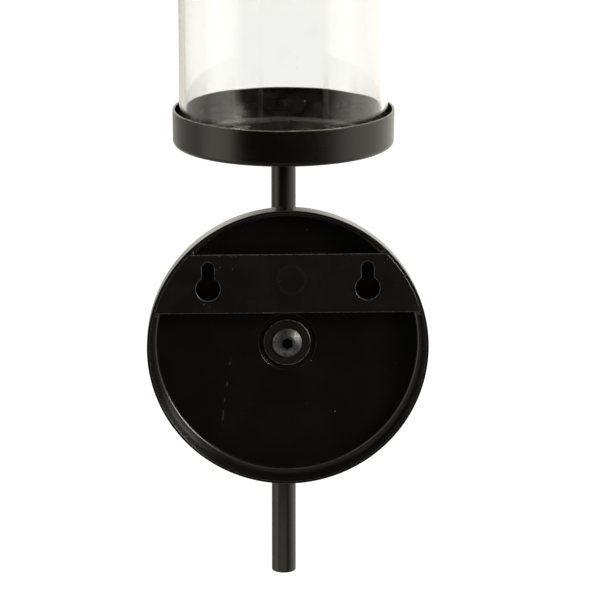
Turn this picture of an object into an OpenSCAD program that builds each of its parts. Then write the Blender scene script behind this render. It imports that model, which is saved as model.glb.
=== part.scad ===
// Wall sconce: a round back dish that hangs on two keyholes, a standoff arm, an upright
// stem, and a pan that holds a glass sleeve around a candle.
// The wall is the plane y = 0, and the sconce stands out from it towards -Y.
// +Z is up, and the origin is where the axis of the back dish meets the wall.

/* [Back dish] */
// Outer diameter of the dish at its back rim
dish_d = 135; // [112:0.5:165]
// Depth of the dish, from the wall to its front face
dish_depth = 13.5; // [11:0.25:18]
// Thickness of the dish's sheet
dish_sheet = 1.3; // [1:0.1:1.6]
// How far the side wall draws in between the back rim and the front corner
dish_draft = 0.2; // [0:0.1:1]
// Outside radius of the corner between the side wall and the front
dish_corner = 4.5; // [3:0.5:6]
// Angle at which the inside of the wall rises from the floor
dish_rise = 30; // [20:1:45]
// Diameter of the recess pressed around the centre hole, seen from the back
recess_d = 28; // [26:1:34]
// Depth of that recess
recess_depth = 0.8; // [0.4:0.1:1.2]

/* [Hanging strip] */
// Height of the strip
strip_h = 29; // [24:0.5:35]
// Thickness of the strip
strip_sheet = 1.2; // [1:0.1:1.6]
// Distance from the top of the dish down to the strip's top edge
strip_from_top = 21.2; // [15:0.1:26]
// Distance from the side of the dish in to a keyhole's centre line
keyhole_inset = 29.4; // [24.5:0.1:36]
// Diameter of a keyhole's entry hole
keyhole_d = 11.5; // [9.5:0.1:14]
// Width of a keyhole's slot
slot_w = 5.8; // [4.8:0.1:7]
// Height of the entry hole's centre above the strip's bottom edge
keyhole_rise = 12.1; // [10:0.1:13]
// Height of the slot's end centre above the entry hole's centre
slot_rise = 10.2; // [8:0.1:11]
// Radius of a weld tack at a corner of the strip
tack_r = 1.9; // [1.4:0.1:2.5]

/* [Centre screw] */
// Diameter of the screw's thread
screw_d = 6; // [5:0.1:8]
// Length of the screw under its head
screw_len = 25; // [20:1:28]
// Diameter of the screw's button head
head_d = 14; // [12:0.5:17]
// Height of the screw's button head
head_h = 2.6; // [2.1:0.1:3.2]
// Width across the flats of the hexagon socket
socket_af = 5; // [3:0.5:5.5]
// Depth of the hexagon socket
socket_depth = 2.2; // [1.8:0.1:2.4]
// Outer diameter of the washer
washer_d = 22.6; // [18:0.2:25]
// Thickness of the washer
washer_t = 1.8; // [1.4:0.1:2.4]

/* [Standoff arm] */
// Diameter of the arm
arm_d = 16; // [14:0.5:19]
// Diameter of the arm's seat against the dish
seat_d = 25; // [21:0.5:28]
// Thickness of the arm's seat
seat_t = 4; // [3:0.5:6]
// Depth of the threaded hole in the arm
tap_depth = 28; // [24:0.5:30]
// Radius of the weld bead between the arm and the stem
bead_r = 1.5; // [1.2:0.1:2]

/* [Stem] */
// Diameter of the stem
stem_d = 12; // [10:0.1:14.4]
// Length of stem that shows below the dish
stem_drop = 63.5; // [50:0.5:80]
// Height of the pan's underside above the top of the dish
pan_rise = 18.5; // [12:0.5:30]
// Rounding of the stem's bottom edge
stem_round = 1; // [0.5:0.1:2]

/* [Pan] */
// Outer height of the pan
pan_h = 17.9; // [14.5:0.1:22]
// Thickness of the pan's sheet
pan_sheet = 1.2; // [1:0.1:1.6]
// How far the pan's wall leans out from its bottom corner to its rim
pan_draft = 0.2; // [0:0.1:1]
// Outside radius of the pan's bottom corner
pan_corner = 2.9; // [2.2:0.1:3.2]
// Distance from the wall to the nearest point of the pan
pan_wall_gap = 10; // [6:0.5:20]
// Diameter of the pan screw's thread
pan_screw_d = 6; // [5:1:6]
// Length of the pan screw under its head
pan_screw_len = 14; // [10:1:16]
// Diameter of the pan screw's flat head
pan_head_d = 13; // [11:0.5:15]
// Height of the pan screw's flat head
pan_head_h = 2; // [1.6:0.1:2.6]

/* [Glass] */
// Outer diameter of the glass sleeve
glass_d = 101.6; // [84:0.1:122]
// Height of the glass sleeve
glass_h = 178; // [148:1:214]
// Wall of the glass sleeve
glass_wall = 3; // [2.4:0.1:4]

/* [Fits] */
// Gap all round between the glass and the pan's wall at the floor
glass_gap = 1.8; // [1.8:0.1:3]
// Gap all round between a screw and the hole that it passes through
screw_gap = 0.4; // [0.2:0.1:0.6]
// Gap all round between a screw and its threaded hole
thread_gap = 0.05; // [0.02:0.01:0.1]
// Gap between the strip's ends and the inside of the dish
strip_gap = 0.05; // [0.02:0.01:0.2]

/* [Hidden] */
$fn = 96;
black = [0.07, 0.066, 0.06];
worn_steel = [0.62, 0.6, 0.57];
clear_glass = [0.85, 0.9, 0.87, 0.35];

edge_break = 0.25;
weld_skin = 0.02;
drop_fn = 12;
fine_fn = 720;
drill_point = 118;
cut = 1;

// Depths, measured from the wall
recess_floor = dish_depth - dish_sheet + recess_depth;
dish_front = dish_depth + recess_depth;
washer_back = recess_floor - washer_t;

dish_r = dish_d / 2;
dish_inner_r = dish_r - dish_sheet;
screw_hole_r = screw_d / 2 + screw_gap;

// Inside the dish, a straight wall turns through an arc and meets the floor in a crisp edge
inner_turn = 90 - dish_rise;
inner_arc_r = (dish_corner - dish_sheet) / (1 - cos(inner_turn));
inner_wall_h = dish_depth - dish_sheet - inner_arc_r * sin(inner_turn);

// The strip's edges, and the keyholes in it
strip_top = dish_r - strip_from_top;
strip_bottom = strip_top - strip_h;
strip_end_r = dish_inner_r - dish_draft * (edge_break + tack_r) / inner_wall_h - strip_gap;
keyhole_x = dish_r - keyhole_inset;
keyhole_z = strip_bottom + keyhole_rise;

// The pan follows the glass, and the stem stands under its middle
glass_r = glass_d / 2;
pan_floor_r = glass_r + glass_gap + pan_sheet;
pan_rim_r = pan_floor_r + pan_draft;
stem_r = stem_d / 2;
stem_out = pan_rim_r + pan_wall_gap;
stem_top = dish_r + pan_rise;
stem_bottom = -dish_r - stem_drop;
pan_floor_z = stem_top + pan_sheet;
arm_r = arm_d / 2;

// Points of an arc about the centre c, from angle a0 to angle a1
function arc(c, r, a0, a1, n = 8) =
    [for (i = [0:n]) let (a = a0 + (a1 - a0) * i / n) c + r * [cos(a), sin(a)]];

// Height of the centre, on the axis, of the circle through two points
function dome_centre(p, q) = (q * q - p * p) / (2 * (q[1] - p[1]));

// Turns a shape of revolution so that its height runs out from the wall
module out_from_wall() rotate([90, 0, 0]) children();

// Turns it the other way, so that its height runs towards the wall from a given depth
module back_from(depth) translate([0, -depth, 0]) rotate([-90, 0, 0]) children();

// Stands a shape on the stem's axis
module on_stem(z = 0) translate([0, -stem_out, z]) children();

module wall_dish() {
    corner_r = dish_r - dish_draft - dish_corner;
    corner_h = dish_depth - dish_corner;
    inner_c = [dish_inner_r - dish_draft - inner_arc_r, inner_wall_h];
    color(black) out_from_wall() rotate_extrude() polygon(concat(
        [[dish_inner_r, edge_break], [dish_inner_r + edge_break, 0],
         [dish_r - edge_break, 0], [dish_r, edge_break]],
        arc([corner_r, corner_h], dish_corner, 0, 90),
        [[recess_d / 2 + dish_sheet, dish_depth],
         [recess_d / 2 + dish_sheet - recess_depth, dish_front],
         [screw_hole_r, dish_front], [screw_hole_r, recess_floor],
         [recess_d / 2 - recess_depth, recess_floor], [recess_d / 2, dish_depth - dish_sheet]],
        arc(inner_c, inner_arc_r, inner_turn, 0)));
}

module keyhole() {
    translate([0, keyhole_z]) circle(d = keyhole_d);
    translate([0, keyhole_z + slot_rise]) circle(d = slot_w);
    translate([-slot_w / 2, keyhole_z]) square([slot_w, slot_rise]);
}

module hanging_strip() {
    color(black) out_from_wall() linear_extrude(strip_sheet) difference() {
        intersection() {
            circle(r = strip_end_r);
            translate([-dish_r, strip_bottom]) square([dish_d, strip_h]);
        }
        for (side = [-1, 1]) translate([side * keyhole_x, 0]) keyhole();
    }
}

// A drop of weld in each corner between an edge of the strip and the dish's wall
module strip_tacks() {
    for (z = [strip_bottom, strip_top]) for (side = [-1, 1])
        color(black) translate([0, -edge_break, 0]) out_from_wall() linear_extrude(tack_r) difference() {
            intersection() {
                circle(r = strip_end_r, $fn = fine_fn);
                translate([side * sqrt(strip_end_r * strip_end_r - z * z), z]) circle(r = tack_r);
            }
            translate([-dish_r, strip_bottom]) square([dish_d, strip_h]);
        }
}

module plate_washer() {
    color(black) back_from(recess_floor) rotate_extrude() polygon([
        [screw_hole_r, 0], [washer_d / 2, 0],
        [washer_d / 2, washer_t - edge_break], [washer_d / 2 - edge_break, washer_t],
        [screw_hole_r, washer_t]]);
}

module hex_socket(af, depth) cylinder(d = af / cos(30), h = depth, $fn = 6);

// Button head: a low dome over a short straight edge, with a flat around the socket
module plate_screw() {
    rim = [head_d / 2, head_h / 8];
    flat = [head_d / 4, head_h];
    c = dome_centre(rim, flat);
    dome_r = norm(rim - [0, c]);
    shank_r = screw_d / 2 - thread_gap;
    color(worn_steel) back_from(washer_back) difference() {
        rotate_extrude() polygon(concat(
            [[0, -screw_len], [shank_r - 2 * edge_break, -screw_len],
             [shank_r, 2 * edge_break - screw_len], [shank_r, 0], [rim[0], 0]],
            arc([0, c], dome_r, atan2(rim[1] - c, rim[0]), atan2(flat[1] - c, flat[0])),
            [[0, head_h]]));
        translate([0, 0, head_h - socket_depth]) hex_socket(socket_af, socket_depth + cut);
    }
}

// The arm sits flat on the dish and is hollowed at its front end to take the stem
module standoff_arm() {
    tap_r = screw_d / 2;
    point_h = tap_r / tan(drill_point / 2);
    neck = seat_t / 2;
    color(black) difference() {
        out_from_wall() rotate_extrude() polygon(concat(
            [[tap_r, dish_front], [seat_d / 2 - edge_break, dish_front],
             [seat_d / 2, dish_front + edge_break]],
            [[seat_d / 2, dish_front + seat_t - edge_break],
             [seat_d / 2 - edge_break, dish_front + seat_t]],
            arc([arm_r + neck, dish_front + seat_t + neck], neck, 270, 180),
            [[arm_r, stem_out], [0, stem_out], [0, dish_front + tap_depth + point_h],
             [tap_r, dish_front + tap_depth]]));
        on_stem() cylinder(r = stem_r, h = 2 * arm_d, center = true);
    }
}

// A row of overlapping drops along the line where the arm meets the stem, above and below
module arm_weld() {
    reach = min(stem_r, arm_r) - bead_r / 4;
    turn = asin(reach / stem_r);
    drops = ceil(stem_d * PI * turn / 180 / bead_r);
    color(black) difference() {
        for (up = [-1, 1]) for (i = [0:drops]) {
            x = stem_r * sin(turn * (2 * i / drops - 1));
            translate([x, sqrt(stem_r * stem_r - x * x) - stem_out, up * sqrt(arm_r * arm_r - x * x)])
                sphere(r = bead_r, $fn = drop_fn);
        }
        on_stem() cylinder(r = stem_r / cos(180 / $fn) + weld_skin, h = 2 * arm_d, center = true);
        out_from_wall() cylinder(r = arm_r / cos(180 / $fn) + weld_skin, h = stem_out);
    }
}

module stem() {
    tap_r = pan_screw_d / 2;
    tap_h = pan_screw_len + tap_r;
    color(black) on_stem() rotate_extrude() polygon(concat(
        [[0, stem_bottom]],
        arc([stem_r - stem_round, stem_bottom + stem_round], stem_round, 270, 360, 5),
        [[stem_r, stem_top - edge_break], [stem_r - edge_break, stem_top], [tap_r, stem_top],
         [tap_r, stem_top - tap_h], [0, stem_top - tap_h - tap_r / tan(drill_point / 2)]]));
}

module candle_pan() {
    corner = [pan_floor_r - pan_corner, stem_top + pan_corner];
    rim_z = stem_top + pan_h;
    hole_r = pan_screw_d / 2 + screw_gap;
    color(black) on_stem() rotate_extrude() polygon(concat(
        [[hole_r, pan_floor_z], [hole_r, stem_top]],
        arc(corner, pan_corner, 270, 360),
        [[pan_rim_r, rim_z - edge_break], [pan_rim_r - edge_break, rim_z],
         [pan_rim_r - pan_sheet + edge_break, rim_z], [pan_rim_r - pan_sheet, rim_z - edge_break]],
        arc(corner, pan_corner - pan_sheet, 360, 270)));
}

module pan_screw() {
    shank_r = pan_screw_d / 2 - thread_gap;
    head_r = pan_head_d / 2;
    round = pan_head_h / 2;
    color(black) on_stem(pan_floor_z) difference() {
        rotate_extrude() polygon(concat(
            [[0, -pan_screw_len], [shank_r - edge_break, -pan_screw_len],
             [shank_r, edge_break - pan_screw_len], [shank_r, 0], [head_r, 0]],
            arc([head_r - round, pan_head_h - round], round, 0, 90, 4),
            [[0, pan_head_h]]));
        translate([0, 0, pan_head_h * 0.3]) hex_socket(pan_screw_d * 2 / 3, pan_head_h);
    }
}

module glass_sleeve() {
    lip = glass_wall / 2 - 0.1;
    inner = glass_r - glass_wall;
    color(clear_glass) on_stem(pan_floor_z) rotate_extrude() polygon(concat(
        arc([inner + lip, lip], lip, 180, 270, 5),
        arc([glass_r - lip, lip], lip, 270, 360, 5),
        arc([glass_r - lip, glass_h - lip], lip, 0, 90, 5),
        arc([inner + lip, glass_h - lip], lip, 90, 180, 5)));
}

wall_dish();
hanging_strip();
strip_tacks();
plate_washer();
plate_screw();
standoff_arm();
arm_weld();
stem();
candle_pan();
pan_screw();
glass_sleeve();
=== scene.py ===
# Black wall sconce with a glass sleeve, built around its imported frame
import math
import random

import bmesh
import bpy
from mathutils import Matrix, Vector


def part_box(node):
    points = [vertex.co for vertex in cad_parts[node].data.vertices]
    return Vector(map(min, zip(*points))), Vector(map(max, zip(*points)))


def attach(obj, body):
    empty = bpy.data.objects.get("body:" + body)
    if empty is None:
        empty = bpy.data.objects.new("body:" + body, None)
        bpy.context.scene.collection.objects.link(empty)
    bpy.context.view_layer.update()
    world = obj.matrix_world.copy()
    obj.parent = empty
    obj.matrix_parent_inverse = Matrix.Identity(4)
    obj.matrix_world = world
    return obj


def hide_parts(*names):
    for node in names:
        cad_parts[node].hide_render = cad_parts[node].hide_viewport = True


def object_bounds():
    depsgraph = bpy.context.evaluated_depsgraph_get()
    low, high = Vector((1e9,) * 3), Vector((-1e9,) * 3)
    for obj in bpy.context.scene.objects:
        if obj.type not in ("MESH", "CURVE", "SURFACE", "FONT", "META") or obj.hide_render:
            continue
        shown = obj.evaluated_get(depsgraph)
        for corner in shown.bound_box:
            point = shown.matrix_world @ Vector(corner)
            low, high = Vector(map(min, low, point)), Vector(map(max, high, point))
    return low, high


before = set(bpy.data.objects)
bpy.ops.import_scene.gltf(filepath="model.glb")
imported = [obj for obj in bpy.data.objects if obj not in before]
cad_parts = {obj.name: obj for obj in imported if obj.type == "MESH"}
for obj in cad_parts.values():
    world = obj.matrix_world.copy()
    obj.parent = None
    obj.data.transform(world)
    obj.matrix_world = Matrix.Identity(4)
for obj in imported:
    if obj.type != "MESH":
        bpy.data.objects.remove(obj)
cadLow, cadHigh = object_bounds()
print("frame loaded,", len(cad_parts), "parts")

# places that several pieces share, read from the frame
dishLow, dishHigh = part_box("wall_dish")
stemLow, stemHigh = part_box("stem")
panLow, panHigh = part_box("candle_pan")
stripLow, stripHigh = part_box("hanging_strip")
washerLow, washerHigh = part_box("plate_washer")
stemAxis = (stemLow + stemHigh) / 2
dishRadius = (dishHigh.z - dishLow.z) / 2
stemRadius = (stemHigh.x - stemLow.x) / 2


# shader helpers
class Link:
    # a shader socket that can stand in a sum
    def __init__(self, tree, socket):
        self.tree = tree
        self.socket = socket

    def math(self, operation, *values):
        return self.tree.add("ShaderNodeMath", {"operation": operation}, dict(enumerate(values)))

    def __add__(self, other):
        return self.math("ADD", self, other)

    def __radd__(self, other):
        return self.math("ADD", other, self)

    def __sub__(self, other):
        return self.math("SUBTRACT", self, other)

    def __rsub__(self, other):
        return self.math("SUBTRACT", other, self)

    def __mul__(self, other):
        return self.math("MULTIPLY", self, other)

    def __rmul__(self, other):
        return self.math("MULTIPLY", other, self)

    def __pow__(self, other):
        return self.math("POWER", self, other)

    def __lt__(self, other):
        return self.math("LESS_THAN", self, other)

    def __gt__(self, other):
        return self.math("GREATER_THAN", self, other)

    def __abs__(self):
        return self.math("ABSOLUTE", self)

    # 0 below low, 1 above high, smooth in between
    def rise(self, low, high):
        settings = {"interpolation_type": "SMOOTHSTEP"}
        return self.tree.add("ShaderNodeMapRange", settings, {0: self, 1: low, 2: high, 3: 0.0, 4: 1.0})


class Tree:
    # a node tree that is filled with one method
    def __init__(self, nodeTree):
        self.nodeTree = nodeTree
        nodeTree.nodes.clear()

    def add(self, kind, settings, inputs, output=0):
        node = self.nodeTree.nodes.new(kind)
        for key, value in settings.items():
            setattr(node, key, value)
        for key, value in inputs.items():
            if isinstance(value, Link):
                self.nodeTree.links.new(value.socket, node.inputs[key])
            else:
                node.inputs[key].default_value = value
        return Link(self, node.outputs[output]) if node.outputs else None

    def place(self, scale=(1, 1, 1), shift=(0, 0, 0)):
        spot = self.add("ShaderNodeTexCoord", {}, {}, "Object")
        return self.add("ShaderNodeMapping", {}, {"Vector": spot, "Scale": scale, "Location": shift})

    def parts(self, vector):
        split = self.add("ShaderNodeSeparateXYZ", {}, {0: vector})
        node = split.socket.node
        return [Link(self, node.outputs[k]) for k in range(3)]

    def noise(self, vector, scale, detail=3.0, roughness=0.5):
        inputs = {"Vector": vector, "Scale": scale, "Detail": detail, "Roughness": roughness}
        return self.add("ShaderNodeTexNoise", {}, inputs, "Fac")

    def mix(self, factor, a, b):
        inputs = {0: factor, 6: colour(a), 7: colour(b)}
        return self.add("ShaderNodeMix", {"data_type": "RGBA"}, inputs, 2)

    # the greater of two values
    def top(self, a, b):
        return self.add("ShaderNodeMath", {"operation": "MAXIMUM"}, {0: a, 1: b})

    # 1 within a reach of a place given by two coordinates, fading to 0 at twice that
    def near(self, across, along, place, reach):
        away = ((across - place[0]) ** 2 + (along - place[1]) ** 2) ** 0.5
        return 1 - away.rise(reach, 2 * reach)

    # small round marks, one in some of the cells of a random grid
    def specks(self, scale, size, share, shift=(0, 0, 0)):
        spot = self.place(shift=shift)
        cells = self.add("ShaderNodeTexVoronoi", {}, {"Vector": spot, "Scale": scale}, "Distance")
        chance = self.parts(Link(self, cells.socket.node.outputs["Color"]))[0]
        return (1 - cells.rise(size / 2, size)) * (chance < share)


def colour(value):
    return value if isinstance(value, Link) else (*value, 1.0)


def newMaterial(name):
    material = bpy.data.materials.new(name)
    material.use_nodes = True
    return material, Tree(material.node_tree)


def finishMaterial(tree, surface):
    tree.add("ShaderNodeOutputMaterial", {}, {"Surface": surface})


# mesh helpers
def drawOutline(corners, closed=True, segments=6):
    # corners are (across, along, rounding, wear) in the plane y = 0; the wear goes to the round's middle points
    bm = bmesh.new()
    wear = bm.verts.layers.float.new("wear")
    verts = [bm.verts.new((across, 0, along)) for across, along, rounding, worn in corners]
    following = verts[1:] + verts[:1] if closed else verts[1:]
    for start, end in zip(verts, following):
        bm.edges.new((start, end))
    for vert, (across, along, rounding, worn) in zip(verts, corners):
        if rounding:
            made = bmesh.ops.bevel(bm, geom=[vert], offset=rounding, offset_type="OFFSET",
                                   affect="VERTICES", segments=segments, profile=0.5, material=-1)
            arc = set(made["verts"])
            for point in arc:
                if all(edge.other_vert(point) in arc for edge in point.link_edges):
                    point[wear] = worn
    return bm


def spinRound(bm, steps):
    bmesh.ops.spin(bm, geom=bm.verts[:] + bm.edges[:], cent=(0, 0, 0), axis=(0, 0, 1),
                   angle=math.tau, steps=steps, use_merge=True, use_duplicate=False)
    bmesh.ops.remove_doubles(bm, verts=bm.verts, dist=1e-6)


# what was drawn upwards stands out from the wall
def outFromWall(bm):
    bmesh.ops.rotate(bm, verts=bm.verts, cent=(0, 0, 0), matrix=Matrix.Rotation(math.radians(90), 3, "X"))


# what was drawn upwards faces the wall, starting at a depth
def backFrom(bm, depth):
    bmesh.ops.rotate(bm, verts=bm.verts, cent=(0, 0, 0), matrix=Matrix.Rotation(math.radians(-90), 3, "X"))
    bmesh.ops.translate(bm, verts=bm.verts, vec=(0, depth, 0))


def onStem(bm, height):
    bmesh.ops.translate(bm, verts=bm.verts, vec=(0, stemAxis.y, height))


def vertsOf(geom):
    return [item for item in geom if isinstance(item, bmesh.types.BMVert)]


def meshFrom(bm, name):
    mesh = bpy.data.meshes.new(name)
    bm.to_mesh(mesh)
    bm.free()
    return mesh


def intoScene(name, data):
    made = bpy.data.objects.new(name, data)
    bpy.context.scene.collection.objects.link(made)
    return made


def addPiece(bm, name, body, nodes, material):
    bmesh.ops.recalc_face_normals(bm, faces=bm.faces)
    for face in bm.faces:
        face.smooth = True
    piece = intoScene(name, meshFrom(bm, name))
    piece.data.materials.append(material)
    # wide faces set the shading beside a rounded edge
    evenNormals = piece.modifiers.new("evenNormals", "WEIGHTED_NORMAL")
    evenNormals.weight = 100
    evenNormals.keep_sharp = True
    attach(piece, body)
    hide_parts(*nodes)
    return piece


def applyModifiers(piece):
    graph = bpy.context.evaluated_depsgraph_get()
    mesh = bpy.data.meshes.new_from_object(piece.evaluated_get(graph))
    piece.modifiers.clear()
    piece.data = mesh


# edges that turn further than this stay crisp
def sharpen(piece, degrees=35):
    mesh = piece.data
    bm = bmesh.new()
    bm.from_mesh(mesh)
    for edge in bm.edges:
        if edge.is_manifold and edge.calc_face_angle() > math.radians(degrees):
            edge.smooth = False
    bm.to_mesh(mesh)
    bm.free()


# black paint; each piece's own settings change some of these
paint = {
    "colour": (0.005, 0.0047, 0.0044), "roughness": 0.34, "gloss": 0.5, "glossTint": (1.0, 0.96, 0.90),
    "mottleColour": (0.0072, 0.0068, 0.0064), "mottleScale": 45.0, "mottleEdge": (0.35, 0.7), "mottleRough": 0.10,
    "lineStretch": (300.0, 300.0, 300.0), "lineRough": 0.06, "lineDepth": 0.03,
    "peelScale": 900.0, "peelDepth": 0.015, "bump": 0.25, "bumpDepth": 0.001,
    "wornColour": (0.30, 0.28, 0.25), "wearAmount": 0.6, "wearEdge": (0.25, 0.9), "wornRough": 0.1, "wornMetal": 0.6,
    "chipScale": 500.0, "chipEdge": (0.3, 0.62), "chipShare": 0.8,
    "dustColour": (0.35, 0.33, 0.3), "dustScale": 260.0, "dustSize": 0.1, "dustShare": 0.03, "dustTone": 0.7,
    "dustRough": 0.3, "haze": 0.0, "hazeColour": (0.12, 0.117, 0.11),
}


def paintMaterial(name, changes, addMarks=None):
    look = {**paint, **changes}
    material, tree = newMaterial(name)
    mottle = tree.noise(tree.place(), look["mottleScale"], 4.0, 0.6)
    lines = tree.noise(tree.place(scale=look["lineStretch"]), 1.0, 2.0, 0.6)
    wear = tree.add("ShaderNodeAttribute", {"attribute_name": "wear"}, {}, "Fac")
    chips = tree.noise(tree.place(shift=(3, 1, 2)), look["chipScale"], 4.0, 0.7)
    chips = chips.rise(*look["chipEdge"]) * look["chipShare"] + (1 - look["chipShare"])
    bare = (wear * chips).rise(*look["wearEdge"]) * look["wearAmount"]
    dust = tree.specks(look["dustScale"], look["dustSize"], look["dustShare"])
    haze = look["haze"]
    if addMarks:
        worn, dusty, haze = addMarks(tree, wear, *tree.parts(tree.place()))
        bare = tree.top(bare, worn)
        dust = tree.top(dust, dusty)
    base = tree.mix(mottle.rise(*look["mottleEdge"]), look["colour"], look["mottleColour"])
    base = tree.mix(haze, base, look["hazeColour"])
    base = tree.mix(bare, base, look["wornColour"])
    base = tree.mix(dust * look["dustTone"], base, look["dustColour"])
    rough = (mottle - 0.5) * look["mottleRough"] + (lines - 0.5) * look["lineRough"] + look["roughness"]
    rough = rough + bare * look["wornRough"] + dust * look["dustRough"]
    height = lines * look["lineDepth"] + tree.noise(tree.place(), look["peelScale"], 2.0) * look["peelDepth"]
    bumps = {"Strength": look["bump"], "Distance": look["bumpDepth"], "Height": height}
    normal = tree.add("ShaderNodeBump", {}, bumps)
    surface = tree.add("ShaderNodeBsdfPrincipled", {}, {
        "Base Color": base, "Roughness": rough, "Metallic": bare * look["wornMetal"], "Normal": normal,
        "Specular IOR Level": look["gloss"], "Specular Tint": (*look["glossTint"], 1.0)})
    finishMaterial(tree, surface)
    return material


# back dish; the marks are the edge of an old label and the faint film that it left
dishMarks = {
    "edgeTop": (0.0273, -0.0073), "lean": -0.13, "edgeWidth": (0.0001, 0.0006), "bottom": -0.05,
    "topFade": 0.001, "bottomFade": 0.012, "wobbleScale": 220.0, "wobble": 0.0012,
    "gapScale": (40, 1, 260), "gapEdge": (0.45, 0.6), "lineTone": 0.35,
    "farSide": (-0.03, 0.0), "filmFade": 0.0006, "cloudScale": 35.0, "cloudEdge": (0.35, 0.75), "filmTone": 0.035,
    "dustScale": 420.0, "dustSize": 0.12, "dustShare": 0.05, "dustTone": 0.6,
}


# marks give back bare metal, dust and haze
def markDish(tree, wear, x, y, z):
    startX, startZ = dishMarks["edgeTop"]
    edge = x - (z - startZ) * dishMarks["lean"] - startX
    wobble = tree.noise(tree.place(), dishMarks["wobbleScale"], 2.0) - 0.5
    edge = edge + wobble * dishMarks["wobble"]
    below = 1 - z.rise(startZ - dishMarks["topFade"], startZ)
    within = below * z.rise(dishMarks["bottom"], dishMarks["bottom"] + dishMarks["bottomFade"])
    line = (1 - abs(edge).rise(*dishMarks["edgeWidth"])) * within
    gaps = tree.noise(tree.place(scale=dishMarks["gapScale"], shift=(1, 0, 2)), 1.0, 1.0).rise(*dishMarks["gapEdge"])
    film = (1 - edge.rise(-dishMarks["filmFade"], 0.0)) * within * x.rise(*dishMarks["farSide"])
    cloud = tree.noise(tree.place(), dishMarks["cloudScale"], 3.0).rise(*dishMarks["cloudEdge"])
    dusty = tree.specks(dishMarks["dustScale"], dishMarks["dustSize"], dishMarks["dustShare"]) * cloud
    haze = film * cloud * dishMarks["filmTone"] + line * gaps * dishMarks["lineTone"]
    return 0.0, dusty * dishMarks["dustTone"], haze


dish = {
    "sheet": 0.0013, "cornerRadius": 0.0045, "draft": 0.0002, "edgeRound": 0.0004, "rimRound": 0.0004,
    "recessRadius": 0.014, "recessDepth": 0.0008, "recessRound": 0.00012, "holeRadius": 0.0034, "steps": 192,
    "floorRadius": 0.0629, "rise": 50, "creaseRound": 0.0010, "arcSteps": 8, "roundSteps": 8,
    "rimWear": (0.4, 0.2),
    "paint": {"colour": (0.0030, 0.0028, 0.0027), "mottleColour": (0.0045, 0.0043, 0.0041), "dustShare": 0.02,
              "roughness": 0.24, "mottleRough": 0.06, "lineRough": 0.03},
}


def makeDish():
    front = -dishLow.y
    flat = front - dish["recessDepth"]
    inside = flat - dish["sheet"]
    side = dishRadius - dish["draft"]
    rim = dish["edgeRound"]
    corner = dish["cornerRadius"]
    recess = dish["recessRadius"]
    innerWear, outerWear = dish["rimWear"]
    # the inner wall turns through an arc and meets the floor in a small round
    turn = math.radians(90 - dish["rise"])
    arcRadius = (side - dish["sheet"] - dish["floorRadius"]) / (1 - math.cos(turn))
    arcCentre = Vector((side - dish["sheet"] - arcRadius, inside - arcRadius * math.sin(turn)))
    angles = [turn * (1 - k / dish["arcSteps"]) for k in range(dish["arcSteps"] + 1)]
    wall = [(arcCentre.x + arcRadius * math.cos(a), arcCentre.y + arcRadius * math.sin(a), 0, 0) for a in angles]
    wall[0] = (dish["floorRadius"], inside, dish["creaseRound"], 0)
    bm = drawOutline([
        (dishRadius - dish["sheet"], 0, rim, innerWear), (dishRadius, 0, dish["rimRound"], outerWear),
        (side, flat, corner, 0),
        (recess + dish["sheet"], flat, rim, 0), (recess + dish["sheet"] - dish["recessDepth"], front, rim, 0),
        (dish["holeRadius"], front, 0, 0), (dish["holeRadius"], front - dish["sheet"], 0, 0),
        (recess - dish["recessDepth"], front - dish["sheet"], dish["recessRound"], 0),
        (recess, inside, dish["recessRound"], 0), *wall], segments=dish["roundSteps"])
    spinRound(bm, dish["steps"])
    outFromWall(bm)
    addPiece(bm, "wallDish", "wall_plate", ["wall_dish"],
             paintMaterial("blackSheet", dish["paint"], markDish))


# hanging strip
stripMarks = {
    "stamp": (-0.0017, 0.0337), "stampRadius": 0.0067, "stampEdge": 0.0005, "stampTone": 0.04,
    "rub": 0.0090, "rubReach": (0.0024, 0.00336), "rubHeight": (0.001, 0.002), "rubTone": 0.7,
    "dustSpots": ((0.039, 0.0222), (0.030, 0.0425), (-0.049, 0.0440)), "dustReach": 0.004,
    "dustScale": 650.0, "dustSize": 0.16, "dustShare": 0.30, "dustTone": 0.9,
    "cloudScale": 60.0, "cloudEdge": (0.4, 0.8), "cloudTone": 0.05,
}


# a faint round stamp, a rubbed stretch of the lower edge and dust by the holes
def markStrip(tree, wear, x, y, z):
    across, up = stripMarks["stamp"]
    away = ((x - across) ** 2 + (z - up) ** 2) ** 0.5
    ring = 1 - abs(away - stripMarks["stampRadius"]).rise(stripMarks["stampEdge"] / 2, stripMarks["stampEdge"] * 2)
    rub = wear * (1 - abs(x - stripMarks["rub"]).rise(*stripMarks["rubReach"]))
    rub = rub * (1 - z.rise(*(stripLow.z + height for height in stripMarks["rubHeight"])))
    dusty = tree.specks(stripMarks["dustScale"], stripMarks["dustSize"], stripMarks["dustShare"])
    spots = sum(tree.near(x, z, spot, stripMarks["dustReach"]) for spot in stripMarks["dustSpots"])
    cloud = tree.noise(tree.place(), stripMarks["cloudScale"], 4.0).rise(*stripMarks["cloudEdge"])
    haze = ring * stripMarks["stampTone"] + cloud * stripMarks["cloudTone"]
    return rub * stripMarks["rubTone"], dusty * spots * stripMarks["dustTone"], haze


strip = {
    "keyholeRadius": 0.00575, "slotHalf": 0.0029, "slotRise": 0.0102, "keyholeX": 0.0381,
    "keyholeRise": 0.0121, "edgeRound": 0.0005, "arcSteps": 24, "crisp": 60, "roundSteps": 4,
    "paint": {"colour": (0.0058, 0.0056, 0.0054), "mottleColour": (0.0078, 0.0075, 0.0072), "dustShare": 0.05,
              "wearAmount": 0.24, "roughness": 0.27, "mottleRough": 0.05, "lineRough": 0.03},
}


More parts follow.
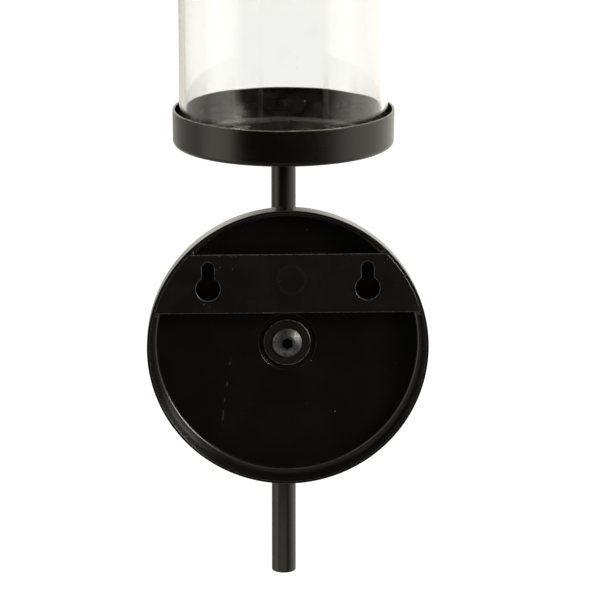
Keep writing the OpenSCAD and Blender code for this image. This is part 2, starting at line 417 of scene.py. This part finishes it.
def arcEdges(bm, start, centre, degrees, steps):
    # spins one point round a centre and returns the last point
    made = bmesh.ops.spin(bm, geom=[start], cent=centre, axis=(0, 1, 0), angle=math.radians(degrees),
                          steps=steps, use_merge=False, use_duplicate=False)
    return vertsOf(made["geom_last"])[0]


def makeStrip():
    bm = bmesh.new()
    top, bottom = stripHigh.z, stripLow.z
    thick = stripHigh.y - stripLow.y
    endRadius = math.hypot(stripHigh.x, bottom)
    # the outline: a flat edge, an arc down the dish's wall, a flat edge, an arc back up
    reach = math.sqrt(endRadius ** 2 - top ** 2)
    turn = math.degrees(math.atan2(top, reach) - math.atan2(bottom, stripHigh.x))
    left = bm.verts.new((-reach, 0, top))
    right = bm.verts.new((reach, 0, top))
    bm.edges.new((left, right))
    lowRight = arcEdges(bm, right, (0, 0, 0), turn, strip["arcSteps"])
    lowLeft = arcEdges(bm, left, (0, 0, 0), -turn, strip["arcSteps"])
    bm.edges.new((lowRight, lowLeft))
    # keyholes: a big arc, two straight sides and a half circle on top
    gap = math.degrees(math.asin(strip["slotHalf"] / strip["keyholeRadius"]))
    height = strip["keyholeRadius"] * math.cos(math.radians(gap))
    for side in (-1, 1):
        x = side * strip["keyholeX"]
        z = bottom + strip["keyholeRise"]
        first = bm.verts.new((x + strip["slotHalf"], 0, z + height))
        last = arcEdges(bm, first, (x, 0, z), 360 - 2 * gap, 2 * strip["arcSteps"])
        upper = bm.verts.new((x - strip["slotHalf"], 0, z + strip["slotRise"]))
        topEnd = arcEdges(bm, upper, (x, 0, z + strip["slotRise"]), 180, strip["arcSteps"])
        bm.edges.new((last, upper))
        bm.edges.new((topEnd, first))
    bmesh.ops.remove_doubles(bm, verts=bm.verts, dist=1e-7)
    bmesh.ops.triangle_fill(bm, use_beauty=True, use_dissolve=False, edges=bm.edges[:])
    made = bmesh.ops.extrude_face_region(bm, geom=bm.faces[:])
    bmesh.ops.translate(bm, verts=vertsOf(made["geom"]), vec=(0, -thick, 0))
    bmesh.ops.recalc_face_normals(bm, faces=bm.faces)
    wear = bm.verts.layers.float.new("wear")
    sharp = [edge for edge in bm.edges
             if edge.is_manifold and edge.calc_face_angle() > math.radians(strip["crisp"])
             and abs(edge.verts[0].co.y - edge.verts[1].co.y) < thick / 2]
    made = bmesh.ops.bevel(bm, geom=sharp, offset=strip["edgeRound"], offset_type="OFFSET", affect="EDGES",
                           segments=strip["roundSteps"], profile=0.5, material=-1)
    rounded = set(made["faces"])
    for vert in made["verts"]:
        if all(face in rounded for face in vert.link_faces):
            vert[wear] = 1.0
    addPiece(bm, "hangingStrip", "wall_plate", ["hanging_strip"],
             paintMaterial("blackStrip", strip["paint"], markStrip))


# weld tacks at the strip's corners
tacks = {
    "radius": 0.0018, "flatten": 0.7, "depth": 0.0016, "detail": 4, "lowInset": 0.25, "topInset": 0.55,
    "overhang": 0.0002, "lumps": 0.05, "lumpScale": 5000, "lumpShift": 0.6, "seed": 4,
    "paint": {"roughness": 0.3, "wearAmount": 0.2},
}


def makeTacks():
    bm = bmesh.new()
    chance = random.Random(tacks["seed"])
    endRadius = math.hypot(stripHigh.x, stripLow.z)
    for z, lean, inset in ((stripLow.z, -1, tacks["lowInset"]), (stripHigh.z, 1, tacks["topInset"])):
        for side in (-1, 1):
            x = side * (math.sqrt(endRadius ** 2 - z ** 2) - tacks["radius"] * inset)
            spot = Vector((x, -tacks["depth"], z + lean * tacks["overhang"]))
            made = bmesh.ops.create_icosphere(bm, subdivisions=tacks["detail"], radius=tacks["radius"])
            for vert in made["verts"]:
                lump = math.sin(vert.co.x * tacks["lumpScale"] + chance.random() * tacks["lumpShift"])
                vert.co *= 1 + tacks["lumps"] * lump
                vert.co.y *= tacks["flatten"]
                vert.co += spot
                # nothing reaches past the dish's wall
                reach = math.hypot(vert.co.x, vert.co.z)
                if reach > endRadius:
                    vert.co.x *= endRadius / reach
                    vert.co.z *= endRadius / reach
    addPiece(bm, "stripTacks", "wall_plate", ["strip_tacks"],
             paintMaterial("blackTack", tacks["paint"]))


# washer
washer = {
    "holeRadius": 0.0034, "edgeRound": 0.0004, "steps": 96,
    "paint": {"colour": (0.0075, 0.007, 0.0064), "roughness": 0.38, "wearAmount": 0.55},
}


def makeWasher():
    outer = washerHigh.x
    thick = washerHigh.y - washerLow.y
    bm = drawOutline([
        (washer["holeRadius"], 0, 0, 0), (outer, 0, 0, 0), (outer, thick, washer["edgeRound"], 1),
        (washer["holeRadius"], thick, washer["edgeRound"] / 2, 0)])
    spinRound(bm, washer["steps"])
    backFrom(bm, washerLow.y)
    addPiece(bm, "plateWasher", "wall_plate", ["plate_washer"],
             paintMaterial("blackWasher", washer["paint"]))


# screws
plateScrew = {
    "headRadius": 0.007, "headHeight": 0.0026, "rimHeight": 0.0008, "flatRadius": 0.0036,
    "shankRadius": 0.00295, "socketAcross": 0.005, "socketDepth": 0.0018, "socketPoint": 0.3,
    "tipBevel": 0.0005, "headRound": 0.0002, "headWear": 0.4, "domeSteps": 8, "steps": 96,
}
panScrew = {
    "headRadius": 0.0065, "headHeight": 0.002, "rimHeight": 0.001, "flatRadius": 0.0052,
    "shankRadius": 0.00295, "socketAcross": 0.004, "socketDepth": 0.0014, "socketPoint": 0.3,
    "tipBevel": 0.0005, "headRound": 0.0002, "headWear": 0.4, "domeSteps": 4, "steps": 72,
    "paint": {"roughness": 0.3},
}


# the ends of a ring of edges, in order round the axis
def byAngle(edges):
    verts = {vert for edge in edges for vert in edge.verts}
    return sorted(verts, key=lambda vert: (math.atan2(vert.co.y, vert.co.x) + 0.01) % math.tau)


def socketScrew(screw, length):
    # the head stands on z = 0 and the shank hangs below it
    rim = Vector((screw["headRadius"], screw["rimHeight"]))
    flat = Vector((screw["flatRadius"], screw["headHeight"]))
    centre = (flat.length_squared - rim.length_squared) / (2 * (flat.y - rim.y))
    dome = (rim - Vector((0, centre))).length
    low = math.atan2(rim.y - centre, rim.x)
    high = math.atan2(flat.y - centre, flat.x)
    angles = [low + (high - low) * k / screw["domeSteps"] for k in range(screw["domeSteps"] + 1)]
    over = [(dome * math.cos(a), centre + dome * math.sin(a), 0, 0) for a in angles]
    bm = drawOutline([
        (0, -length, 0, 0), (screw["shankRadius"] - screw["tipBevel"], -length, 0, 0),
        (screw["shankRadius"], screw["tipBevel"] - length, 0, 0), (screw["shankRadius"], 0, 0, 0),
        (screw["headRadius"], 0, screw["headRound"], screw["headWear"]), *over], closed=False)
    spinRound(bm, screw["steps"])
    ring = [edge for edge in bm.edges if edge.is_boundary]
    # the hexagon socket is joined to the head's edge, then sunk and closed
    made = bmesh.ops.create_circle(bm, cap_ends=False, segments=6,
                                   radius=screw["socketAcross"] / 2 / math.cos(math.radians(30)))
    hexEdges = list({edge for vert in made["verts"] for edge in vert.link_edges})
    bmesh.ops.translate(bm, verts=made["verts"], vec=(0, 0, screw["headHeight"]))
    bmesh.ops.subdivide_edges(bm, edges=hexEdges, cuts=screw["steps"] // 6 - 1)
    hexEdges = [edge for edge in bm.edges if not edge.link_faces and edge not in ring]
    made = bmesh.ops.extrude_edge_only(bm, edges=hexEdges)
    sunk = vertsOf(made["geom"])
    bmesh.ops.translate(bm, verts=sunk, vec=(0, 0, -screw["socketDepth"]))
    floorEdges = [edge for edge in bm.edges if edge.is_boundary and edge.verts[0] in sunk]
    outer, inner = byAngle(ring), byAngle(hexEdges)
    for k in range(len(outer)):
        bm.faces.new((outer[k - 1], outer[k], inner[k], inner[k - 1]))
    made = bmesh.ops.extrude_edge_only(bm, edges=floorEdges)
    tip = vertsOf(made["geom"])
    bmesh.ops.scale(bm, verts=tip, vec=(0, 0, 1))
    bmesh.ops.translate(bm, verts=tip, vec=(0, 0, -screw["socketDepth"] * screw["socketPoint"]))
    bmesh.ops.remove_doubles(bm, verts=bm.verts, dist=1e-6)
    return bm


steel = {
    "light": (0.16, 0.157, 0.152), "dark": (0.105, 0.102, 0.098), "scratchScale": (900, 200, 300),
    "scratchEdge": (0.3, 0.7), "scratchRough": 0.15, "roughness": 0.38, "bump": 0.3, "bumpDepth": 0.0002,
    "blacking": (0.04, 0.037, 0.034), "blackingScale": 260.0, "blackingEdge": (0.5, 0.62), "blackingTone": 0.6,
    "blackingRough": 0.15, "socketShadeColour": (0.006, 0.005, 0.0045), "socketReach": 0.003, "socketLip": 0.0002,
}


# bare steel with some blacking left on it; the socket is painted near-black as shade in the recess
def steelMaterial():
    material, tree = newMaterial("wornScrewSteel")
    scratches = tree.noise(tree.place(scale=steel["scratchScale"]), 1.0, 4.0, 0.7)
    blacking = tree.noise(tree.place(), steel["blackingScale"], 3.0, 0.6).rise(*steel["blackingEdge"])
    x, y, z = tree.parts(tree.place())
    # painted shade: the inside of the socket, where shade falls, gets a near-black colour
    sunk = (x ** 2 + z ** 2) ** 0.5 < steel["socketReach"]
    sunk = sunk * (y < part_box("plate_screw")[1].y - steel["socketLip"])
    base = tree.mix(scratches.rise(*steel["scratchEdge"]), steel["light"], steel["dark"])
    base = tree.mix(blacking * steel["blackingTone"], base, steel["blacking"])
    base = tree.mix(sunk, base, steel["socketShadeColour"])
    rough = scratches * steel["scratchRough"] + blacking * steel["blackingRough"] + steel["roughness"]
    bumps = {"Strength": steel["bump"], "Distance": steel["bumpDepth"], "Height": scratches}
    normal = tree.add("ShaderNodeBump", {}, bumps)
    surface = tree.add("ShaderNodeBsdfPrincipled", {}, {
        "Base Color": base, "Metallic": 1.0, "Roughness": rough, "Normal": normal})
    finishMaterial(tree, surface)
    return material


def makePlateScrew():
    low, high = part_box("plate_screw")
    seat = high.y - plateScrew["headHeight"]
    bm = socketScrew(plateScrew, seat - low.y)
    backFrom(bm, seat)
    sharpen(addPiece(bm, "plateScrew", "stem_assembly", ["plate_screw"], steelMaterial()))


def makePanScrew():
    low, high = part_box("pan_screw")
    seat = high.z - panScrew["headHeight"]
    bm = socketScrew(panScrew, seat - low.z)
    onStem(bm, seat)
    sharpen(addPiece(bm, "panScrew", "stem_assembly", ["pan_screw"],
                     paintMaterial("blackScrew", panScrew["paint"])))


# standoff arm and its weld
arm = {
    "radius": 0.008, "seatRadius": 0.0125, "seatThick": 0.004, "neck": 0.002, "boreRadius": 0.003,
    "boreDepth": 0.028, "borePoint": 0.002, "edgeRound": 0.0004, "seatWear": 0.3, "steps": 96, "cutSteps": 128,
    "paint": {"lineStretch": (80, 1500, 80)},
}


def makeArm():
    start = -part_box("standoff_arm")[1].y
    end = -stemAxis.y
    bm = drawOutline([
        (0, start + arm["boreDepth"], 0, 0), (arm["boreRadius"], start + arm["boreDepth"] - arm["borePoint"], 0, 0),
        (arm["boreRadius"], start, 0, 0), (arm["seatRadius"], start, arm["edgeRound"], arm["seatWear"]),
        (arm["seatRadius"], start + arm["seatThick"], arm["edgeRound"], arm["seatWear"]),
        (arm["radius"], start + arm["seatThick"], arm["neck"], 0), (arm["radius"], end, arm["edgeRound"], 0),
        (0, end, 0, 0)], closed=False)
    spinRound(bm, arm["steps"])
    outFromWall(bm)
    piece = addPiece(bm, "standoffArm", "stem_assembly", ["standoff_arm"],
                     paintMaterial("blackArm", arm["paint"]))
    # the arm's end is hollowed to the stem
    bm = bmesh.new()
    bmesh.ops.create_cone(bm, cap_ends=True, segments=arm["cutSteps"], radius1=stemRadius, radius2=stemRadius,
                          depth=4 * arm["radius"])
    onStem(bm, 0)
    cutter = intoScene("stemCutter", meshFrom(bm, "stemCutter"))
    hollow = piece.modifiers.new("hollow", "BOOLEAN")
    hollow.operation = "DIFFERENCE"
    hollow.solver = "EXACT"
    hollow.object = cutter
    applyModifiers(piece)
    bpy.data.objects.remove(cutter)
    sharpen(piece)


weld = {
    "dropRadius": 0.0014, "drops": 15, "detail": 3, "uneven": 0.12, "squash": (0.75, 1, 0.9), "voxel": 0.00028,
    "seed": 11, "paint": {"roughness": 0.3},
}


# two rows of drops that follow the joint of arm and stem, then fused
def makeArmWeld():
    bm = bmesh.new()
    chance = random.Random(weld["seed"])
    reach = stemRadius - weld["dropRadius"] / 4
    for up in (-1, 1):
        for k in range(weld["drops"]):
            x = reach * (2 * k / (weld["drops"] - 1) - 1)
            spot = Vector((x, stemAxis.y + math.sqrt(stemRadius ** 2 - x ** 2),
                           up * math.sqrt(arm["radius"] ** 2 - x ** 2)))
            size = weld["dropRadius"] * (1 + weld["uneven"] * (chance.random() - 0.5))
            made = bmesh.ops.create_icosphere(bm, subdivisions=weld["detail"], radius=size)
            bmesh.ops.scale(bm, verts=made["verts"], vec=weld["squash"])
            bmesh.ops.translate(bm, verts=made["verts"], vec=spot)
    piece = addPiece(bm, "armWeld", "stem_assembly", ["arm_weld"],
                     paintMaterial("blackWeld", weld["paint"]))
    fuse = piece.modifiers.new("fuse", "REMESH")
    fuse.mode = "VOXEL"
    fuse.voxel_size = weld["voxel"]
    fuse.use_smooth_shade = True
    applyModifiers(piece)


# stem
stem = {
    "endRound": 0.0009, "endWear": 0.6, "topRound": 0.0003, "steps": 128,
    "paint": {"colour": (0.0028, 0.0026, 0.0024), "mottleColour": (0.004, 0.0037, 0.0034),
              "lineStretch": (900, 900, 14), "lineRough": 0.10, "roughness": 0.32},
}


def makeStem():
    bm = drawOutline([
        (0, stemLow.z, 0, 0), (stemRadius, stemLow.z, stem["endRound"], stem["endWear"]),
        (stemRadius, stemHigh.z, stem["topRound"], 0), (0, stemHigh.z, 0, 0)], closed=False)
    spinRound(bm, stem["steps"])
    onStem(bm, 0)
    addPiece(bm, "stemBar", "stem_assembly", ["stem"], paintMaterial("blackBar", stem["paint"]))


# candle pan
pan = {
    "sheet": 0.0012, "cornerRadius": 0.0029, "draft": 0.0002, "edgeRound": 0.0004,
    "holeRadius": 0.0034, "rimWear": 1, "roundSteps": 8, "steps": 224,
    "paint": {"colour": (0.0022, 0.002, 0.0018), "mottleColour": (0.0032, 0.003, 0.0027), "dustShare": 0.02,
              "lineStretch": (14, 14, 1300), "lineRough": 0.05, "lineDepth": 0.012, "roughness": 0.27,
              "wearAmount": 0.3, "bump": 0.06},
}


def makePan():
    rim = panHigh.x
    low = rim - pan["draft"]
    floor = panLow.z + pan["sheet"]
    bm = drawOutline([
        (pan["holeRadius"], floor, 0, 0), (pan["holeRadius"], panLow.z, 0, 0),
        (low, panLow.z, pan["cornerRadius"], 0), (rim, panHigh.z, pan["edgeRound"], pan["rimWear"]),
        (rim - pan["sheet"], panHigh.z, pan["edgeRound"], pan["rimWear"]),
        (low - pan["sheet"], floor, pan["cornerRadius"] - pan["sheet"], 0)], segments=pan["roundSteps"])
    spinRound(bm, pan["steps"])
    onStem(bm, 0)
    addPiece(bm, "candlePan", "stem_assembly", ["candle_pan"],
             paintMaterial("blackPan", pan["paint"]))


# glass sleeve
glass = {
    "wall": 0.003, "lip": 0.00135, "rings": 40, "steps": 224,
    "ripple": 0.00003, "rippleWaves": (3, 7, 11), "rippleRise": 60,
    "tint": (1.0, 1.0, 0.978), "edgeShadeTint": (0.95, 0.955, 0.90), "edge": (0.55, 0.97), "ior": 1.43, "roughness": 0.01,
    # seed bubbles: how close they are, their size, their share and the shift of their grid
    "seeds": ((230.0, 0.09, 0.10, (0, 0, 0)), (120.0, 0.06, 0.06, (4, 2, 7))),
    "seedHeight": 0.5, "seedFilm": 0.25, "seedRough": 0.25,
    # drawn lines and slow waves bend what is seen through the glass
    "drawnScale": (90, 90, 2.5), "drawnHeight": 0.04, "waveScale": (25, 25, 12), "waveHeight": 0.2,
    "bump": 0.2, "bumpDepth": 0.0006,
    "film": (0.9, 0.9, 0.88), "cloudScale": 90.0, "cloudEdge": (0.5, 0.9), "cloudFilm": 0.02,
    # each streak: where it is across and behind or in front of the axis, its width and its strength
    "streaks": ((-0.0229, -1, 0.0018, 0.14), (0.0100, -1, 0.0015, 0.08), (-0.042, -1, 0.0075, 0.12),
                (0.043, -1, 0.0045, 0.12), (0.0270, -1, 0.0050, 0.06)),
    "streakTop": 0.012, "streakRest": 0.12, "streakCore": 0.6, "streakSide": 0.004,
    "unevenScale": (160, 160, 6), "unevenEdge": (0.25, 0.75), "uneven": 0.7,
    # the cloudy lower lip, which also stands in as a painted highlight of the pan's inner corner seen through the
    # glass: where it starts to clear, where it is clear, and its strength
    "lipFilmAndHighlight": (0.0018, 0.0028, 0.14),
}


def makeGlass():
    low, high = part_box("glass_sleeve")
    outer = high.x
    inner = outer - glass["wall"]
    height = high.z - low.z
    levels = [height * k / glass["rings"] for k in range(1, glass["rings"])]
    inside = [(inner, level, 0, 0) for level in reversed(levels)]
    outside = [(outer, level, 0, 0) for level in levels]
    bm = drawOutline([
        (inner, 0, glass["lip"], 0), (outer, 0, glass["lip"], 0), *outside,
        (outer, height, glass["lip"], 0), (inner, height, glass["lip"], 0), *inside])
    spinRound(bm, glass["steps"])
    # hand-made glass: the inner face ripples a little round and along the sleeve
    for vert in bm.verts:
        reach = math.hypot(vert.co.x, vert.co.y)
        if reach < inner + glass["wall"] / 4:
            angle = math.atan2(vert.co.y, vert.co.x)
            rise = glass["rippleRise"] * vert.co.z
            wave = sum(math.sin(n * angle + n * n + rise) for n in glass["rippleWaves"])
            scale = 1 + glass["ripple"] * wave / reach
            vert.co.x *= scale
            vert.co.y *= scale
    onStem(bm, low.z)
    addPiece(bm, "glassSleeve", "glass", ["glass_sleeve"], glassMaterial())


def glassMaterial():
    material, tree = newMaterial("clearGlass")
    small, large = (tree.specks(*kind) for kind in glass["seeds"])
    seeds = small + large
    drawn = tree.noise(tree.place(scale=glass["drawnScale"]), 1.0, 2.0)
    waves = tree.noise(tree.place(scale=glass["waveScale"]), 1.0, 1.0)
    height = seeds * glass["seedHeight"] + drawn * glass["drawnHeight"] + waves * glass["waveHeight"]
    bumps = {"Strength": glass["bump"], "Distance": glass["bumpDepth"], "Height": height}
    normal = tree.add("ShaderNodeBump", {}, bumps)
    # painted shade along the sleeve's edges: where the glass is seen edge-on its colour turns to a darker, warmer
    # tint
    facing = tree.add("ShaderNodeLayerWeight", {}, {"Blend": 0.5}, "Facing")
    tint = tree.mix(facing.rise(*glass["edge"]), glass["tint"], glass["edgeShadeTint"])
    # a faint white film lies in upright streaks on the far side, strongest below the pan's rim, and dust and seed
    # bubbles stand out on it
    x, y, z = tree.parts(tree.place())
    uneven = tree.noise(tree.place(scale=glass["unevenScale"]), 1.0, 3.0, 0.6).rise(*glass["unevenEdge"])
    uneven = uneven * glass["uneven"] + (1 - glass["uneven"])
    cloud = tree.noise(tree.place(), glass["cloudScale"], 3.0).rise(*glass["cloudEdge"])
    film = seeds * glass["seedFilm"] + cloud * glass["cloudFilm"]
    lowerDown = 1 - z.rise(panHigh.z, panHigh.z + glass["streakTop"]) * (1 - glass["streakRest"])
    for across, side, width, strength in glass["streaks"]:
        streak = 1 - abs(x - across).rise(width * glass["streakCore"], width)
        streak = streak * ((y - stemAxis.y) * side).rise(0.0, glass["streakSide"])
        film = film + streak * lowerDown * uneven * strength
    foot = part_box("glass_sleeve")[0].z
    solid, clear, strength = glass["lipFilmAndHighlight"]
    # a white band low on the sleeve: partly the cloudy ground lip, partly a painted highlight of the pan's inner
    # corner
    film = film + (1 - z.rise(foot + solid, foot + clear)) * strength
    surface = tree.add("ShaderNodeBsdfPrincipled", {}, {
        "Base Color": tint, "Transmission Weight": 1.0, "IOR": glass["ior"], "Normal": normal,
        "Roughness": seeds * glass["seedRough"] + glass["roughness"]})
    haze = tree.add("ShaderNodeBsdfDiffuse", {}, {"Color": (*glass["film"], 1.0)})
    finishMaterial(tree, tree.add("ShaderNodeMixShader", {}, {0: film, 1: surface, 2: haze}))
    return material


# studio
camera = {
    "azimuth": 177.94, "elevation": 14.21, "distance": 2.2139, "aim": (-0.0069, -0.032, 0.0157), "lens": 274.4,
    "sensor": 36, "farClip": 50,
}
# panels are given by where they start and end round the sconce, and the sky and ground by height
studio = {
    "leftPanel": (0.80, 1.1, 1.45, 1.8), "leftLight": 1.45, "leftDim": 0.64,
    "rightPanel": (0.74, 1.35), "rightLight": 1.25, "seam": 0.02,
    "backdrop": (2.25, 2.6), "backLight": 1.6, "backLow": 0.45, "horizon": 0.1,
    "sky": (0.72, 0.92), "skyReach": (0.15, 0.5), "skyLight": 1.8, "ground": (0.5, 0.8), "groundLight": 0.4,
    "dark": 0.02, "diffuse": 0.3, "warmth": (1.0, 0.965, 0.885), "lampColour": (1.0, 0.97, 0.92),
}
# azimuth and elevation seen from the sconce, then distance, width, height and radiance
lamps = {
    "keyLamp": (-54, 20, 1.2, 0.36, 0.46, 19.0),
    "fillLamp": (48, 40, 1.4, 0.30, 0.30, 2.0),
}
lowCard = {"place": (0.025, 0.08, -0.168), "width": 0.20, "height": 0.06, "radiance": 1.1}
ground = {"size": 12, "drop": 0.35, "colour": (0.9, 0.9, 0.89), "glow": 0.75}


def makeCamera():
    azimuth = math.radians(camera["azimuth"])
    elevation = math.radians(camera["elevation"])
    back = Vector((math.sin(azimuth) * math.cos(elevation), -math.cos(azimuth) * math.cos(elevation),
                   math.sin(elevation)))
    data = bpy.data.cameras.new("studioCamera")
    data.lens = camera["lens"]
    data.sensor_width = camera["sensor"]
    data.clip_end = camera["farClip"]
    view = intoScene("studioCamera", data)
    view.location = Vector(camera["aim"]) + back * camera["distance"]
    view.rotation_euler = back.to_track_quat("Z", "Y").to_euler()
    bpy.context.scene.camera = view


def makeWorld():
    world = bpy.data.worlds.new("studioLight")
    bpy.context.scene.world = world
    world.use_nodes = True
    tree = Tree(world.node_tree)
    spot = tree.add("ShaderNodeTexCoord", {}, {}, "Generated")
    x, y, z = tree.parts(spot)
    # angle round from the +Y side, where the room is dark, to the backdrop behind the sconce
    turn = x.math("ARCTAN2", abs(x), y)
    left = turn.rise(*studio["leftPanel"][:2]) * studio["leftLight"]
    left = left * (1 - turn.rise(*studio["leftPanel"][2:]) * studio["leftDim"])
    right = turn.rise(*studio["rightPanel"]) * studio["rightLight"]
    onLeft = x.rise(-studio["seam"], studio["seam"])
    back = turn.rise(*studio["backdrop"]) * studio["backLight"]
    back = back * (z.rise(-studio["horizon"], studio["horizon"]) * (1 - studio["backLow"]) + studio["backLow"])
    ring = tree.top(left * onLeft + right * (1 - onLeft), back)
    high = z.rise(*studio["sky"])
    low = (z * -1).rise(*studio["ground"])
    sky = high * (1 - y.rise(*studio["skyReach"])) * studio["skyLight"]
    light = ring * (1 - high) * (1 - low) + sky + low * studio["groundLight"] + studio["dark"]
    # seen straight, or through glass, the background is plain white
    diffuse = tree.add("ShaderNodeLightPath", {}, {}, "Diffuse Depth")
    outputs = diffuse.socket.node.outputs
    isDiffuse = Link(tree, outputs["Is Diffuse Ray"])
    bounced = (diffuse + Link(tree, outputs["Glossy Depth"])) > 0.5
    strength = light * (1 - isDiffuse * (1 - studio["diffuse"])) * bounced + (1 - bounced)
    tone = tree.mix(bounced, (1, 1, 1), studio["warmth"])
    surface = tree.add("ShaderNodeBackground", {}, {"Color": tone, "Strength": strength})
    tree.add("ShaderNodeOutputWorld", {}, {"Surface": surface})


def makeFloor():
    bm = bmesh.new()
    bmesh.ops.create_grid(bm, x_segments=1, y_segments=1, size=ground["size"])
    bmesh.ops.translate(bm, verts=bm.verts, vec=(0, 0, cadLow.z - ground["drop"]))
    material, tree = newMaterial("paleFloor")
    diffuse = tree.add("ShaderNodeBsdfDiffuse", {}, {"Color": (*ground["colour"], 1)})
    glow = tree.add("ShaderNodeEmission", {}, {"Color": (1, 1, 1, 1), "Strength": ground["glow"]})
    finishMaterial(tree, tree.add("ShaderNodeAddShader", {}, {0: diffuse, 1: glow}))
    floor = intoScene("studioFloor", meshFrom(bm, "studioFloor"))
    floor.data.materials.append(material)
    floor.visible_glossy = False
    floor.visible_diffuse = False
    floor.visible_transmission = False


def addLamp(name, place, width, height, radiance, aim):
    data = bpy.data.lights.new(name, "AREA")
    data.shape = "RECTANGLE"
    data.size = width
    data.size_y = height
    data.energy = radiance * math.pi * width * height
    data.color = studio["lampColour"]
    lamp = intoScene(name, data)
    lamp.location = place
    lamp.rotation_euler = (Vector(place) - Vector(aim)).to_track_quat("Z", "Y").to_euler()
    lamp.visible_camera = False


def makeLamps():
    for name, (azimuth, elevation, distance, width, height, radiance) in lamps.items():
        turn, rise = math.radians(azimuth), math.radians(elevation)
        place = Vector((math.sin(turn) * math.cos(rise), math.cos(turn) * math.cos(rise), math.sin(rise)))
        addLamp(name, place * distance, width, height, radiance, (0, 0, 0))
    # a card under the sconce lights the lower end of the stem
    addLamp("lowCard", lowCard["place"], lowCard["width"], lowCard["height"], lowCard["radiance"],
            (0, stemAxis.y, (stemLow.z + dishLow.z) / 2))


makeCamera()
makeWorld()
makeLamps()
makeFloor()
bpy.context.scene.view_settings.view_transform = "Standard"
print("studio made")
makeDish()
makeStrip()
makeTacks()
makeWasher()
print("wall plate made")
makePlateScrew()
makeArm()
makeArmWeld()
makeStem()
makePan()
makePanScrew()
print("stem and pan made")
makeGlass()
print("glass made")
